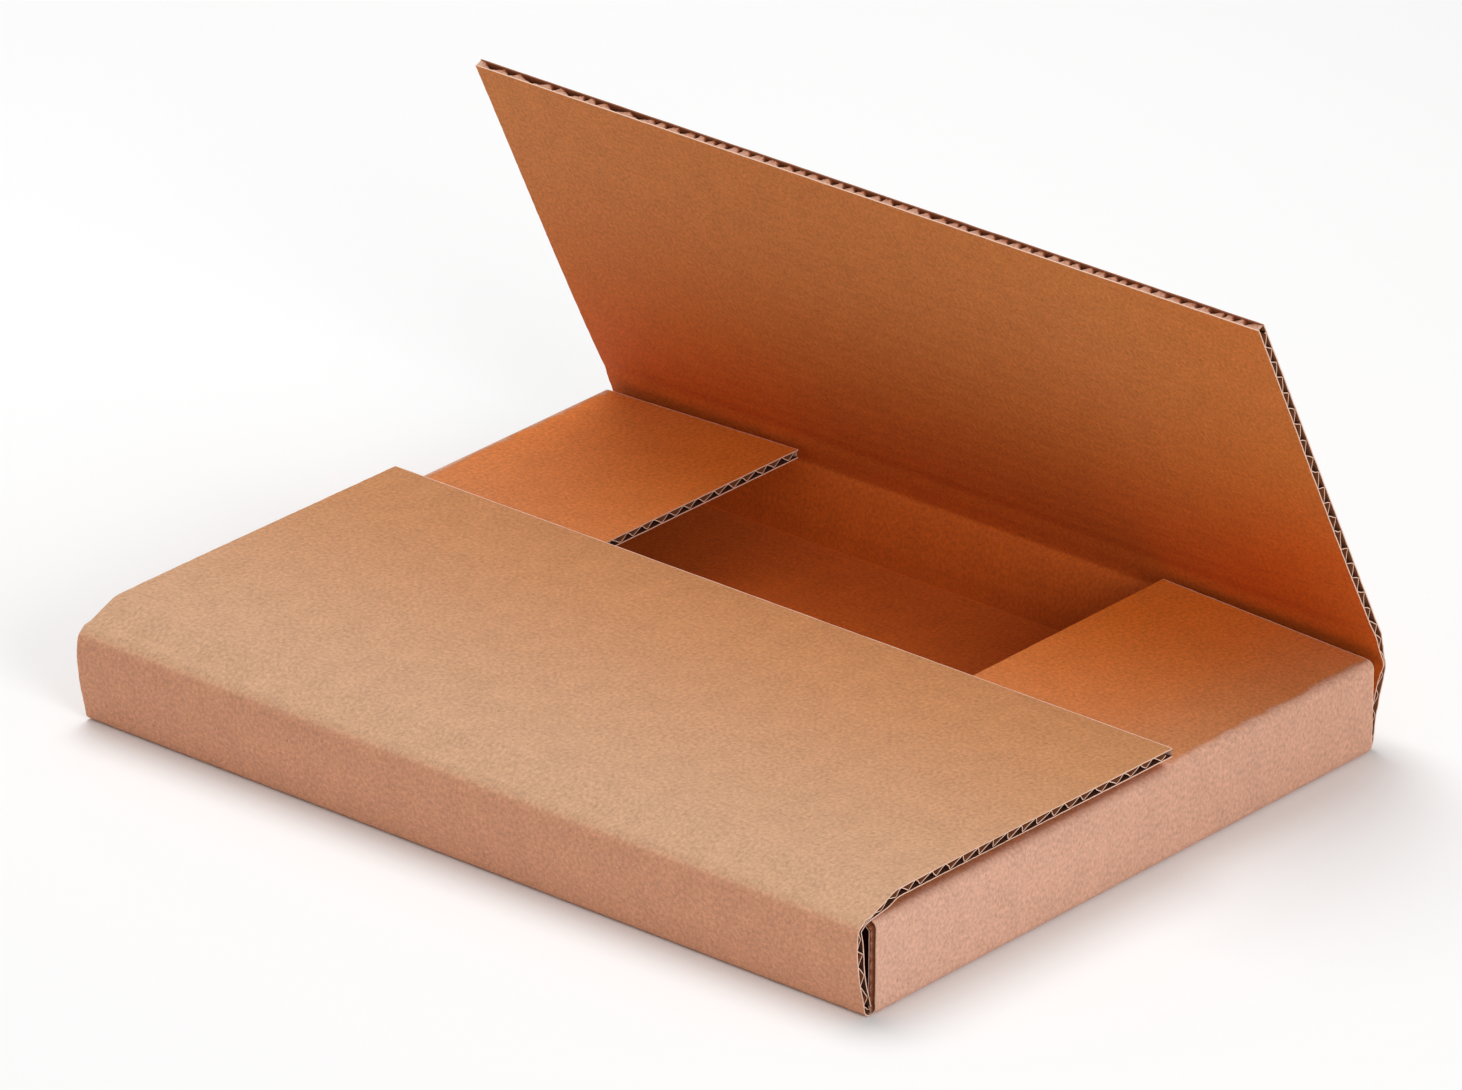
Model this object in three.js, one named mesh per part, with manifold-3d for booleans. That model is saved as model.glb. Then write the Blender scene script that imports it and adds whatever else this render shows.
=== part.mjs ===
// Corrugated cardboard mailer: one die-cut kraft sheet folded into a shallow tray with two end flaps
// and two long outer flaps. Millimetres, +Z up, +Y from the front wall to the back wall.
import * as THREE from 'three';
import { mergeVertices } from 'three/addons/utils/BufferGeometryUtils.js';
import Module from 'manifold-3d';

const wasm = await Module();
wasm.setup();

// The board: two flat liners with a fluted medium between them, pressed thin along each crease.
const BOARD = 2.8;
const LINER = 0.4;
const FLUTE_PITCH = 6.35;
const FLUTE_WIDE = 4.3;
const FLUTE_NARROW = 0.9;
const CREASE_THICK = 1.0;
const OPEN_EDGE_DEPTH = 1.5;

// The fold of each outer flap: a slit between the two pieces, and an axis just off the outer face.
// The score closes further than the crease, so its slit is wider.
const SLIT = 0.3;
const SCORE_SLIT = 0.5;

// The tray at the floor.
const LENGTH = 289.0;
const WIDTH = 226.3;
const HALF_LENGTH = LENGTH / 2;
const HALF_WIDTH = WIDTH / 2;
const FLOOR_RADIUS = 2.4;
const FLOOR_LAP = 1.0;

// End walls and end flaps.
const END_HEIGHT = 28.9;
const END_SETBACK = 3.1;
const END_CREASE_RADIUS = 2.6;
const END_FLAP_RISE = 2.5;
const LEFT_FLAP_REACH = 75.6;
const RIGHT_FLAP_REACH = 76.7;
const RELIEF_CORNER = 6.0;
const RELIEF_CORNER_DEPTH = 4.9;
const RELIEF_TIP_DEPTH = 11.6;

// Front panel. It hangs over the tray on the left, stops short of it on the right and lies askew.
const FRONT_OVERHANG = 2.0;
const FRONT_SHORTFALL = 1.5;
const FRONT_SKEW = 1.9 / 132;
const FRONT_LEAN = 3.3;
const FRONT_CREASE_HEIGHT = 28.65;
const FRONT_CREASE_LEAN = 1.3;
const FRONT_CREASE_SLOPE = 40.2;
const RAMP_LENGTH = 16.2;
const RAMP_RISE = 5.95;
const FRONT_FLAP_REACH = 132.55;
const FRONT_FLAP_RISE = 6.45;

// Back panel: the wall, a short strip above its crease, and the flap above the score.
const BACK_OVERHANG = 0.2;
const BACK_SHORTFALL = 0.3;
const BACK_TAPER = 1.7;
const BACK_TAPER_HEIGHT = 22.0;
const BACK_LEAN = 2.8;
const BACK_CREASE_HEIGHT = 25.6;
const STRIP_RISE = 10.25;
const STRIP_SETBACK = 2.2;
const BACK_FLAP_LENGTH = 128.9;
const BACK_FLAP_ANGLE = 63.5;
const BACK_CLOSED_ANGLE = 2.0;

// Outer faces as shares of the sizes above: [out or along, up, board thickness].
const FRONT_WALL_SHAPE = [[0.727, 0.963, 0.46], [0.939, 0.887, 0.79], [1, 0.803, 1], [0.758, 0.489, 1]];
const RAMP_SHAPE = [
  [0.093, 0.193, 0.39],
  [0.253, 0.294, 0.41],
  [0.444, 0.504, 0.71],
  [0.63, 0.706, 1],
  [0.877, 0.958, 1],
  [1, 1, 1],
];
const BACK_WALL_SHAPE = [[0.036, 0.312, 1], [0.393, 0.656, 1], [0.875, 0.906, 0.82], [1, 1, 0.43]];
const STRIP_SHAPE = [[0.27, 0.254, 0.46], [0.61, 0.605, 0.75]];

const kraft = new THREE.MeshStandardMaterial({ color: 0xc08a58, roughness: 0.9, metalness: 0 });

const rad = (degrees) => (degrees * Math.PI) / 180;
const point = (across, up) => new THREE.Vector2(across, up);

function solidOf(geometry) {
  const bare = geometry.clone();
  bare.deleteAttribute('normal');
  bare.deleteAttribute('uv');
  const merged = mergeVertices(bare, 1e-5);
  const mesh = new wasm.Mesh({
    numProp: 3,
    vertProperties: new Float32Array(merged.attributes.position.array),
    triVerts: new Uint32Array(merged.index.array),
  });
  return new wasm.Manifold(mesh);
}

function pieceOf(name, solid) {
  const mesh = solid.getMesh();
  const geometry = new THREE.BufferGeometry();
  geometry.setAttribute('position', new THREE.BufferAttribute(Float32Array.from(mesh.vertProperties), 3));
  geometry.setIndex(new THREE.BufferAttribute(Uint32Array.from(mesh.triVerts), 1));
  geometry.computeVertexNormals();
  const piece = new THREE.Mesh(geometry, kraft);
  piece.name = name;
  return piece;
}

function arc(across, up, radius, fromDegrees, toDegrees, steps) {
  const points = [];
  for (let i = 0; i <= steps; i += 1) {
    const angle = rad(fromDegrees + ((toDegrees - fromDegrees) * i) / steps);
    points.push(point(across + radius * Math.cos(angle), up + radius * Math.sin(angle)));
  }
  return points;
}

// A run of board in section: its outer face from station to station, with the board on the left
// of the way it runs, and the inner face one thickness away.
class Run {
  constructor(stations) {
    this.outer = stations.map(([across, up]) => point(across, up));
    this.thick = stations.map(([, , share]) => share * BOARD);
    this.length = [0];
    for (let i = 1; i < this.outer.length; i += 1) {
      this.length.push(this.length[i - 1] + this.outer[i].distanceTo(this.outer[i - 1]));
    }
    this.total = this.length[this.length.length - 1];
    this.inner = this.outer.map((p, i) => p.clone().addScaledVector(this.inwardAt(i), this.thick[i]));
  }

  directionOf(i) {
    return this.outer[i].clone().sub(this.outer[i - 1]).normalize();
  }

  // The inward direction at a station, lengthened at a bend so that the board keeps its thickness.
  inwardAt(i) {
    const before = this.directionOf(Math.max(i, 1));
    const after = this.directionOf(Math.min(i + 1, this.outer.length - 1));
    const along = before.clone().add(after).normalize();
    const stretch = 1 / Math.max(along.dot(before), 0.7);
    return point(-along.y, along.x).multiplyScalar(stretch);
  }

  at(distance, depth) {
    let i = 1;
    while (i < this.length.length - 1 && this.length[i] < distance) i += 1;
    const share = (distance - this.length[i - 1]) / (this.length[i] - this.length[i - 1]);
    const outer = this.outer[i - 1].clone().lerp(this.outer[i], share);
    const inner = this.inner[i - 1].clone().lerp(this.inner[i], share);
    return outer.lerp(inner, depth / BOARD);
  }

  // The open flutes between two distances: each is wide at one liner and narrow at the other.
  flutes(from, to) {
    const step = FLUTE_PITCH / 2;
    const count = Math.floor((to - from - FLUTE_WIDE) / step) + 1;
    const first = (from + to - (count - 1) * step) / 2;
    const holes = [];
    for (let k = 0; k < count; k += 1) {
      const middle = first + k * step;
      const atOuter = (k % 2 === 0 ? FLUTE_WIDE : FLUTE_NARROW) / 2;
      const atInner = (k % 2 === 0 ? FLUTE_NARROW : FLUTE_WIDE) / 2;
      holes.push(new THREE.Path([
        this.at(middle - atOuter, LINER),
        this.at(middle + atOuter, LINER),
        this.at(middle + atInner, BOARD - LINER),
        this.at(middle - atInner, BOARD - LINER),
      ]));
    }
    return holes;
  }
}

// One side of a fold: the end of a run, cut back to half the slit and bevelled on its inner side.
function foldEnd(fold, along, thick, bevel, slit) {
  const inward = point(-along.y, along.x);
  const outer = fold.clone().addScaledVector(along, -slit / 2);
  const inner = outer.clone().addScaledVector(inward, thick).addScaledVector(along, -thick * Math.tan(bevel));
  return { outer, inner };
}

function foldStart(fold, along, thick, bevel, slit) {
  const inward = point(-along.y, along.x);
  const outer = fold.clone().addScaledVector(along, slit / 2);
  const inner = outer.clone().addScaledVector(inward, thick).addScaledVector(along, thick * Math.tan(bevel));
  return { outer, inner };
}

// The free edge of a flap is cut along its flutes, so a groove runs between the liners.
function freeEdge(outer, inner, along) {
  const across = inner.clone().sub(outer).normalize();
  const outerLip = outer.clone().addScaledVector(across, LINER);
  const innerLip = inner.clone().addScaledVector(across, -LINER);
  const back = along.clone().multiplyScalar(-OPEN_EDGE_DEPTH);
  return [outer, outerLip, outerLip.clone().add(back), innerLip.clone().add(back), innerLip, inner];
}

// A section in the YZ plane drawn out along X.
function drawnAlongX(shape, fromX, toX) {
  const geometry = new THREE.ExtrudeGeometry(shape, { depth: toX - fromX, bevelEnabled: false });
  const axes = new THREE.Matrix4().makeBasis(
    new THREE.Vector3(0, 1, 0),
    new THREE.Vector3(0, 0, 1),
    new THREE.Vector3(1, 0, 0),
  );
  geometry.applyMatrix4(axes);
  geometry.translate(fromX, 0, 0);
  return geometry;
}

const frontLeft = -HALF_LENGTH - FRONT_OVERHANG;
const frontRight = HALF_LENGTH - FRONT_SHORTFALL;
const backLeft = -HALF_LENGTH - BACK_OVERHANG;
const backRight = HALF_LENGTH - BACK_SHORTFALL;

const frontCrease = point(-HALF_WIDTH - FRONT_CREASE_LEAN, FRONT_CREASE_HEIGHT);
const frontCreaseSlope = rad(FRONT_CREASE_SLOPE);
const backCrease = point(HALF_WIDTH + BACK_LEAN, BACK_CREASE_HEIGHT);
const backScore = point(backCrease.x - STRIP_SETBACK, backCrease.y + STRIP_RISE);
const stripUp = backScore.clone().sub(backCrease).normalize();
const flapUp = point(-Math.cos(rad(BACK_FLAP_ANGLE)), Math.sin(rad(BACK_FLAP_ANGLE)));
const stripAngle = Math.atan2(stripUp.y, -stripUp.x);
const scoreBevel = (stripAngle - rad(BACK_CLOSED_ANGLE)) / 2;

// The front wall, from its crease down to the fold at the floor.
function frontWall() {
  const down = point(-Math.cos(frontCreaseSlope), -Math.sin(frontCreaseSlope));
  const top = foldStart(frontCrease, down, CREASE_THICK, 0, SLIT);
  const wall = FRONT_WALL_SHAPE.map(([out, up, thick]) => (
    [-HALF_WIDTH - out * FRONT_LEAN, up * FRONT_CREASE_HEIGHT, thick]));
  const fold = arc(-HALF_WIDTH + FLOOR_RADIUS, FLOOR_RADIUS, FLOOR_RADIUS, 180, 270, 4);
  const run = new Run([...wall, [fold[0].x, fold[0].y, 1]]);
  const inner = run.inner.slice(0, -1).reverse();
  const floorEnd = -HALF_WIDTH + BOARD + FLOOR_LAP;
  const shape = new THREE.Shape([
    top.outer,
    ...run.outer.slice(0, -1),
    ...fold,
    point(floorEnd, 0),
    point(floorEnd, BOARD),
    point(-HALF_WIDTH + BOARD, BOARD),
    ...inner,
    top.inner,
  ]);
  shape.holes.push(...run.flutes(3.4, run.total + 0.8));
  return solidOf(drawnAlongX(shape, frontLeft, frontRight));
}

// The back wall and the strip above its crease, from the fold at the floor up to the score.
function backWall() {
  const fold = arc(HALF_WIDTH - FLOOR_RADIUS, FLOOR_RADIUS, FLOOR_RADIUS, 270, 360, 4);
  const wall = BACK_WALL_SHAPE.map(([out, up, thick]) => (
    [HALF_WIDTH + out * BACK_LEAN, up * BACK_CREASE_HEIGHT, thick]));
  const strip = STRIP_SHAPE.map(([back, up, thick]) => (
    [backCrease.x - back * STRIP_SETBACK, backCrease.y + up * STRIP_RISE, thick]));
  const top = foldEnd(backScore, stripUp, BOARD, scoreBevel, SCORE_SLIT);
  const run = new Run([[fold[4].x, fold[4].y, 1], ...wall, ...strip, [top.outer.x, top.outer.y, 1]]);
  const inner = run.inner.slice(1, -1).reverse();
  const floorEnd = HALF_WIDTH - BOARD - FLOOR_LAP;
  const shape = new THREE.Shape([
    point(floorEnd, 0),
    ...fold,
    ...run.outer.slice(1),
    top.inner,
    ...inner,
    point(HALF_WIDTH - BOARD, BOARD),
    point(floorEnd, BOARD),
  ]);
  const creaseDistance = run.length[wall.length];
  shape.holes.push(...run.flutes(-0.8, creaseDistance - 2.2));
  shape.holes.push(...run.flutes(run.total - 6.6, run.total - 1.6));
  const geometry = drawnAlongX(shape, backLeft, backRight);
  // The cut ends of the wall draw in towards the floor.
  const position = geometry.attributes.position;
  for (let i = 0; i < position.count; i += 1) {
    const share = Math.max(0, 1 - position.getZ(i) / BACK_TAPER_HEIGHT);
    position.setX(i, position.getX(i) - Math.sign(position.getX(i)) * share * BACK_TAPER);
  }
  return solidOf(geometry);
}

function floorPanel() {
  const length = 2 * (HALF_LENGTH - FLOOR_RADIUS);
  const panel = new THREE.BoxGeometry(length, 2 * (HALF_WIDTH - FLOOR_RADIUS), BOARD);
  panel.translate(0, 0, BOARD / 2);
  return solidOf(panel);
}

// An end wall and its flap, in section in the XZ plane and drawn out along Y, for the end at +X.
function endPanel(reach, side) {
  const front = -HALF_WIDTH + END_SETBACK;
  const depth = 2 * (HALF_WIDTH - END_SETBACK);
  const tip = HALF_LENGTH - reach;
  const inside = HALF_LENGTH - BOARD;
  const floorEnd = HALF_LENGTH - 3 * BOARD;
  const slope = END_FLAP_RISE / (reach - END_CREASE_RADIUS);
  const shape = new THREE.Shape([
    point(floorEnd, 0),
    ...arc(HALF_LENGTH - FLOOR_RADIUS, FLOOR_RADIUS, FLOOR_RADIUS, 270, 360, 4),
    ...arc(HALF_LENGTH - END_CREASE_RADIUS, END_HEIGHT - END_CREASE_RADIUS, END_CREASE_RADIUS, 0, 90, 5),
    point(tip, END_HEIGHT + END_FLAP_RISE),
    point(tip, END_HEIGHT + END_FLAP_RISE - BOARD),
    point(inside - BOARD / 2, END_HEIGHT - BOARD + (slope * BOARD) / 2),
    point(inside, END_HEIGHT - BOARD - 0.9),
    point(inside, BOARD),
    point(floorEnd, BOARD),
  ]);
  const geometry = new THREE.ExtrudeGeometry(shape, { depth, bevelEnabled: false });
  geometry.rotateX(Math.PI / 2);
  geometry.translate(0, front + depth, 0);
  let solid = solidOf(geometry).subtract(relief(tip, front));
  for (const flute of endFlutes(tip, reach, slope)) solid = solid.subtract(flute);
  for (const edge of [front, front + depth]) solid = solid.subtract(openEdge(edge));
  return side > 0 ? solid : solid.mirror([1, 0, 0]);
}

// The relief cut off an end flap where the ramp of the front flap comes down over it.
function relief(tip, front) {
  const crease = HALF_LENGTH - BOARD - SLIT;
  const plan = new THREE.Shape([
    point(crease, front - BOARD),
    point(crease, front),
    point(crease - RELIEF_CORNER, front + RELIEF_CORNER_DEPTH),
    point(tip, front + RELIEF_TIP_DEPTH),
    point(tip - BOARD, front + RELIEF_TIP_DEPTH),
    point(tip - BOARD, front - BOARD),
  ]);
  const geometry = new THREE.ExtrudeGeometry(plan, { depth: END_HEIGHT, bevelEnabled: false });
  geometry.translate(0, 0, END_HEIGHT / 2);
  return solidOf(geometry);
}

// The flutes of an end flap, open at its free edge and pressed shut at its crease.
function endFlutes(tip, reach, slope) {
  const back = HALF_WIDTH - END_SETBACK;
  const run = new Run([[back, END_HEIGHT, 1], [-back + RELIEF_TIP_DEPTH, END_HEIGHT, 1]]);
  return run.flutes(LINER, run.total - LINER).map((hole) => {
    const flute = drawnAlongX(new THREE.Shape(hole.getPoints()), tip - BOARD, tip + reach - 4 * BOARD);
    const position = flute.attributes.position;
    for (let i = 0; i < position.count; i += 1) {
      const fromCrease = HALF_LENGTH - END_CREASE_RADIUS - position.getX(i);
      position.setZ(i, position.getZ(i) + slope * fromCrease);
    }
    return solidOf(flute);
  });
}

// The upright edge of an end wall is cut along its flutes too.
function openEdge(y) {
  const height = END_HEIGHT - 3 * BOARD;
  const groove = new THREE.BoxGeometry(BOARD - 2 * LINER, 2 * OPEN_EDGE_DEPTH, height);
  groove.translate(HALF_LENGTH - BOARD / 2, y, END_HEIGHT / 2);
  return solidOf(groove);
}

function tray() {
  const ends = endPanel(RIGHT_FLAP_REACH, 1).add(endPanel(LEFT_FLAP_REACH, -1));
  return pieceOf('tray', floorPanel().add(frontWall()).add(backWall()).add(ends));
}

function frontFlap() {
  const along = point(-Math.cos(frontCreaseSlope), -Math.sin(frontCreaseSlope));
  const start = foldEnd(frontCrease, along, CREASE_THICK, 0, SLIT);
  const ramp = RAMP_SHAPE.map(([forward, up, thick]) => (
    [frontCrease.x + forward * RAMP_LENGTH, frontCrease.y + up * RAMP_RISE, thick]));
  const tip = [frontCrease.x + FRONT_FLAP_REACH, frontCrease.y + FRONT_FLAP_RISE, 1];
  const run = new Run([tip, ...ramp.reverse()]);
  const towardTip = run.directionOf(1).negate();
  const edge = freeEdge(run.outer[0], run.inner[0], towardTip).reverse();
  const shape = new THREE.Shape([
    ...edge,
    ...run.outer.slice(1),
    start.outer,
    start.inner,
    ...run.inner.slice(1).reverse(),
  ]);
  shape.holes.push(...run.flutes(2.0, run.total - 4.0));
  const geometry = drawnAlongX(shape, frontLeft, frontRight);
  const position = geometry.attributes.position;
  for (let i = 0; i < position.count; i += 1) {
    position.setX(i, position.getX(i) + FRONT_SKEW * (position.getY(i) - frontCrease.x));
  }
  return pieceOf('front_flap', solidOf(geometry));
}

function backFlap() {
  const start = foldStart(backScore, flapUp, BOARD, scoreBevel, SCORE_SLIT);
  const tip = backScore.clone().addScaledVector(flapUp, BACK_FLAP_LENGTH);
  const run = new Run([[start.outer.x, start.outer.y, 1], [tip.x, tip.y, 1]]);
  const shape = new THREE.Shape([start.outer, ...freeEdge(run.outer[1], run.inner[1], flapUp), start.inner]);
  shape.holes.push(...run.flutes(2.6, run.total - 2.0));
  return pieceOf('back_flap', solidOf(drawnAlongX(shape, backLeft, backRight)));
}

const mailer = new THREE.Group();
mailer.name = 'corrugated_mailer';
mailer.add(tray(), frontFlap(), backFlap());

export default mailer;
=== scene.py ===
"""A corrugated kraft mailer: tray, end flaps, front flap lying shut and back flap standing open.

Every panel is built as board is made: an outer liner, an inner liner and a fluted medium between
them. Sizes are in millimetres here and become metres when a mesh is written.
"""
import math
import random

import bpy
import numpy as np
from mathutils import Matrix, Vector


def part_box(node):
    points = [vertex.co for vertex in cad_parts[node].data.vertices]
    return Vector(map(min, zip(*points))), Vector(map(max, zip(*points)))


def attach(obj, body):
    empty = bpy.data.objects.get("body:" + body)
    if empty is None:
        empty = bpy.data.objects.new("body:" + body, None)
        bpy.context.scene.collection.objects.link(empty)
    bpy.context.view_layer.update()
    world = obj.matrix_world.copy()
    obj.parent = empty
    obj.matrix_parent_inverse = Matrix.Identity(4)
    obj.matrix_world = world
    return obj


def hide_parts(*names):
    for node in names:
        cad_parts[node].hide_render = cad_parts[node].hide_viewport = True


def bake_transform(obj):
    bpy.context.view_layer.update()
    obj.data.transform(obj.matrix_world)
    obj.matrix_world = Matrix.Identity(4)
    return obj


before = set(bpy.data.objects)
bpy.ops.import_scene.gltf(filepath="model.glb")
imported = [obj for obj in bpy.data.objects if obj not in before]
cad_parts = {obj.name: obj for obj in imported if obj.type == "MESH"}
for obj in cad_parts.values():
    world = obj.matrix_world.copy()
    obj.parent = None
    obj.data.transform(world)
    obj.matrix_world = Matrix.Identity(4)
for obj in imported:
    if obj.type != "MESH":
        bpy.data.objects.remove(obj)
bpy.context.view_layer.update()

MM = 0.001

# The board.
BOARD = 2.8
LINER = 0.36
MEDIUM = 0.26
FLUTE_PITCH = 6.35
CREASE_THICK = 1.3
SKIN_SHARE = 0.45
LEAST_ROOM = 0.02
FLUTE_DRIFT = 0.55
DRIFT_FLUTES = 2.3
FLUTE_LEAN = 0.10
FLUTE_SHARPNESS = 0.93
CUT_RIM = 0.38

# How uneven the cut edges are, and how far from a corner the torn cavities stop.
RAGGED = 0.16
CORNER_HOLD = 1.6
CORNER_PINCH = 2.4
TOOTH_PITCH = 4.5

# Where the panels are, from the frame.
TRAY_HIGH = np.array(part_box("tray")[1]) / MM
FRONT_LOW, FRONT_HIGH = (np.array(corner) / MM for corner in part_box("front_flap"))
BACK_LOW, BACK_HIGH = (np.array(corner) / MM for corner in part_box("back_flap"))
HALF_LENGTH = TRAY_HIGH[0]
FRONT_CREASE = np.array([-114.45, 28.65])
BACK_CREASE = np.array([115.95, 25.6])
BACK_SCORE = np.array([113.75, 35.85])
HALF_WIDTH = 113.15
FLOOR_RADIUS = 2.4
INNER_FOLD = 0.5
FOLD_STEPS = 6

# The front panel, from the floor up over the crease to the free edge.
FRONT_LEAN = 3.3
FRONT_WALL_STATIONS = [(0.758, 0.489, 1.0), (1.0, 0.803, 1.0), (0.939, 0.887, 0.79), (0.727, 0.963, 0.46)]
RAMP_LENGTH = 16.2
RAMP_RISE = 5.95
RAMP_STATIONS = [
    (0.093, 0.193, 0.5),
    (0.253, 0.294, 0.5),
    (0.444, 0.504, 0.76),
    (0.63, 0.706, 1.0),
    (0.877, 0.958, 1.0),
    (1.0, 1.0, 1.0),
]
FRONT_SHORTFALL = 1.5
FRONT_SKEW = 1.9 / 132

# The back panel, from the floor up over the crease and the score to the free edge.
BACK_LEAN = 2.8
BACK_WALL_STATIONS = [(0.036, 0.312, 1.0), (0.393, 0.656, 1.0), (0.875, 0.906, 0.82)]
STRIP_STATIONS = [(0.27, 0.254, 0.46), (0.61, 0.605, 0.75)]
BACK_FLAP_LENGTH = 128.9
BACK_FLAP_ANGLE = math.radians(63.5)
BACK_TAPER = 1.7
BACK_TAPER_HEIGHT = 22.0
BACK_CREASE_SHARE = 0.43
SCORE_SHARE = 0.92
SCORE_FADE = 6.0

# The end walls and their flaps.
END_HEIGHT = 28.9
END_SETBACK = 3.1
END_CREASE_RADIUS = 2.6
END_FLAP_RISE = 2.5
LEFT_FLAP_REACH = 75.6
RIGHT_FLAP_REACH = 76.7
RELIEF_CORNER = 6.0
RELIEF_CORNER_DEPTH = 4.9
RELIEF_TIP_DEPTH = 11.6
END_WALL_STATIONS = (8.0, 16.0, 22.0)
END_BEND_STEPS = 8
END_FLAP_START = 8.0
INNER_BEND_DROP = 0.9
RELIEF_START = 0.3


def arc(centre, radius, start, end, steps):
    """Points round a circle, angles in degrees."""
    angles = np.radians(np.linspace(start, end, steps + 1))
    return [np.array([centre[0] + radius * math.cos(a), centre[1] + radius * math.sin(a)]) for a in angles]


class Track:
    """A smooth line through stations that never overshoots them, read by distance along it."""

    def __init__(self, rows):
        self.rows = np.array(rows, float)
        steps = np.linalg.norm(np.diff(self.rows[:, :2], axis=0), axis=1)
        self.s = np.concatenate([[0.0], np.cumsum(np.maximum(steps, 1e-3))])
        self.length = self.s[-1]
        gaps = np.diff(self.s)[:, None]
        rates = np.diff(self.rows, axis=0) / gaps
        before, after = rates[:-1], rates[1:]
        w_before = 2 * gaps[1:] + gaps[:-1]
        w_after = gaps[1:] + 2 * gaps[:-1]
        same = before * after > 0
        safe_before = np.where(same, before, 1.0)
        safe_after = np.where(same, after, 1.0)
        mean = (w_before + w_after) / (w_before / safe_before + w_after / safe_after)
        self.rates = np.vstack([rates[:1], np.where(same, mean, 0.0), rates[-1:]])

    def at(self, s):
        s = np.clip(np.atleast_1d(s), 0, self.length)
        i = np.clip(np.searchsorted(self.s, s, side="right") - 1, 0, len(self.s) - 2)
        gap = (self.s[i + 1] - self.s[i])[:, None]
        t = (s - self.s[i])[:, None] / gap
        a, b = self.rows[i], self.rows[i + 1]
        ra, rb = self.rates[i] * gap, self.rates[i + 1] * gap
        return (
            a * (2 * t**3 - 3 * t**2 + 1)
            + ra * (t**3 - 2 * t**2 + t)
            + b * (3 * t**2 - 2 * t**3)
            + rb * (t**3 - t**2)
        )


def offset_inward(outer, thick, turn):
    """The inner face of a run of board. turn is +1 with the board on the left of the way it runs."""
    inner = []
    for i, p in enumerate(outer):
        before = outer[max(i, 1)] - outer[max(i, 1) - 1]
        j = min(i + 1, len(outer) - 1)
        after = outer[j] - outer[j - 1]
        before = before / np.linalg.norm(before)
        after = after / np.linalg.norm(after)
        along = (before + after) / np.linalg.norm(before + after)
        stretch = 1 / max(float(along @ before), 0.7)
        inner.append(p + turn * np.array([-along[1], along[0]]) * stretch * thick[i])
    return inner


def hash_noise(x, seed):
    """Smooth one-dimensional noise between -1 and 1, with one knot at each whole number."""
    x = np.asarray(x, float)
    knots = np.floor(x)
    t = x - knots
    t = t * t * (3 - 2 * t)

    def knot(n):
        wave = np.sin(n * 127.1 + seed * 311.7) * 43758.5453
        return 2 * (wave - np.floor(wave)) - 1

    return knot(knots) * (1 - t) + knot(knots + 1) * t


class Panel:
    """A run of board. place(s, w, depth) gives the point at distance s along the run, share w
    across it and depth below its outer face. end is 1 for the right end, -1 for the left end
    and 0 for a long panel, and front_like marks the panel that runs up from the floor's front."""

    def __init__(self, outer, inner, sides, end=0, front_like=False):
        self.track = Track([[*o, *i] for o, i in zip(outer, inner)])
        self.length = self.track.length
        self.stations = self.track.s
        self.sides = sides
        self.end = end
        self.front_like = front_like
        self.seed = 1 + 3 * len(outer) + end

    def section(self, s):
        rows = self.track.at(s)
        return rows[:, :2], rows[:, 2:]

    def thickness(self, s):
        outer, inner = self.section(s)
        return np.linalg.norm(inner - outer, axis=1)

    def place(self, s, w, depth):
        s, w, depth = (np.ravel(v).astype(float) for v in np.broadcast_arrays(s, w, depth))
        outer, inner = self.section(s)
        way = inner - outer
        thick = np.linalg.norm(way, axis=1)
        flat = outer + way * (depth / thick)[:, None]
        low, high = self.sides(s, outer)
        across = low + w * (high - low)
        if self.end == 0:
            return np.column_stack([across, flat[:, 0], flat[:, 1]])
        return np.column_stack([self.end * flat[:, 0], across, flat[:, 1]])


def front_panel():
    thick = [BOARD * share for _, _, share in FRONT_WALL_STATIONS]
    wall = [
        np.array([-HALF_WIDTH - out * FRONT_LEAN, up * FRONT_CREASE[1]])
        for out, up, _ in FRONT_WALL_STATIONS
    ]
    ramp = [FRONT_CREASE + np.array([f * RAMP_LENGTH, u * RAMP_RISE]) for f, u, _ in RAMP_STATIONS]
    thick += [CREASE_THICK] + [BOARD * share for _, _, share in RAMP_STATIONS] + [BOARD]
    tip = np.array([FRONT_HIGH[1], FRONT_HIGH[2]])
    upper = [*wall, FRONT_CREASE, *ramp, tip]
    floor = arc((-HALF_WIDTH + FLOOR_RADIUS, FLOOR_RADIUS), FLOOR_RADIUS, 270, 180, FOLD_STEPS)
    corner = (-HALF_WIDTH + BOARD + INNER_FOLD, BOARD + INNER_FOLD)
    inner = arc(corner, INNER_FOLD, 270, 180, FOLD_STEPS)
    inner += offset_inward([floor[-1], *upper], [BOARD, *thick], -1)[1:]

    def sides(s, outer):
        skew = FRONT_SKEW * np.maximum(outer[:, 0] - FRONT_CREASE[0], 0)
        return FRONT_LOW[0] + skew, HALF_LENGTH - FRONT_SHORTFALL + skew

    panel = Panel([*floor, *upper], inner, sides, front_like=True)
    panel.crease_s = panel.stations[len(floor) + len(wall)]
    return panel


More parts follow.
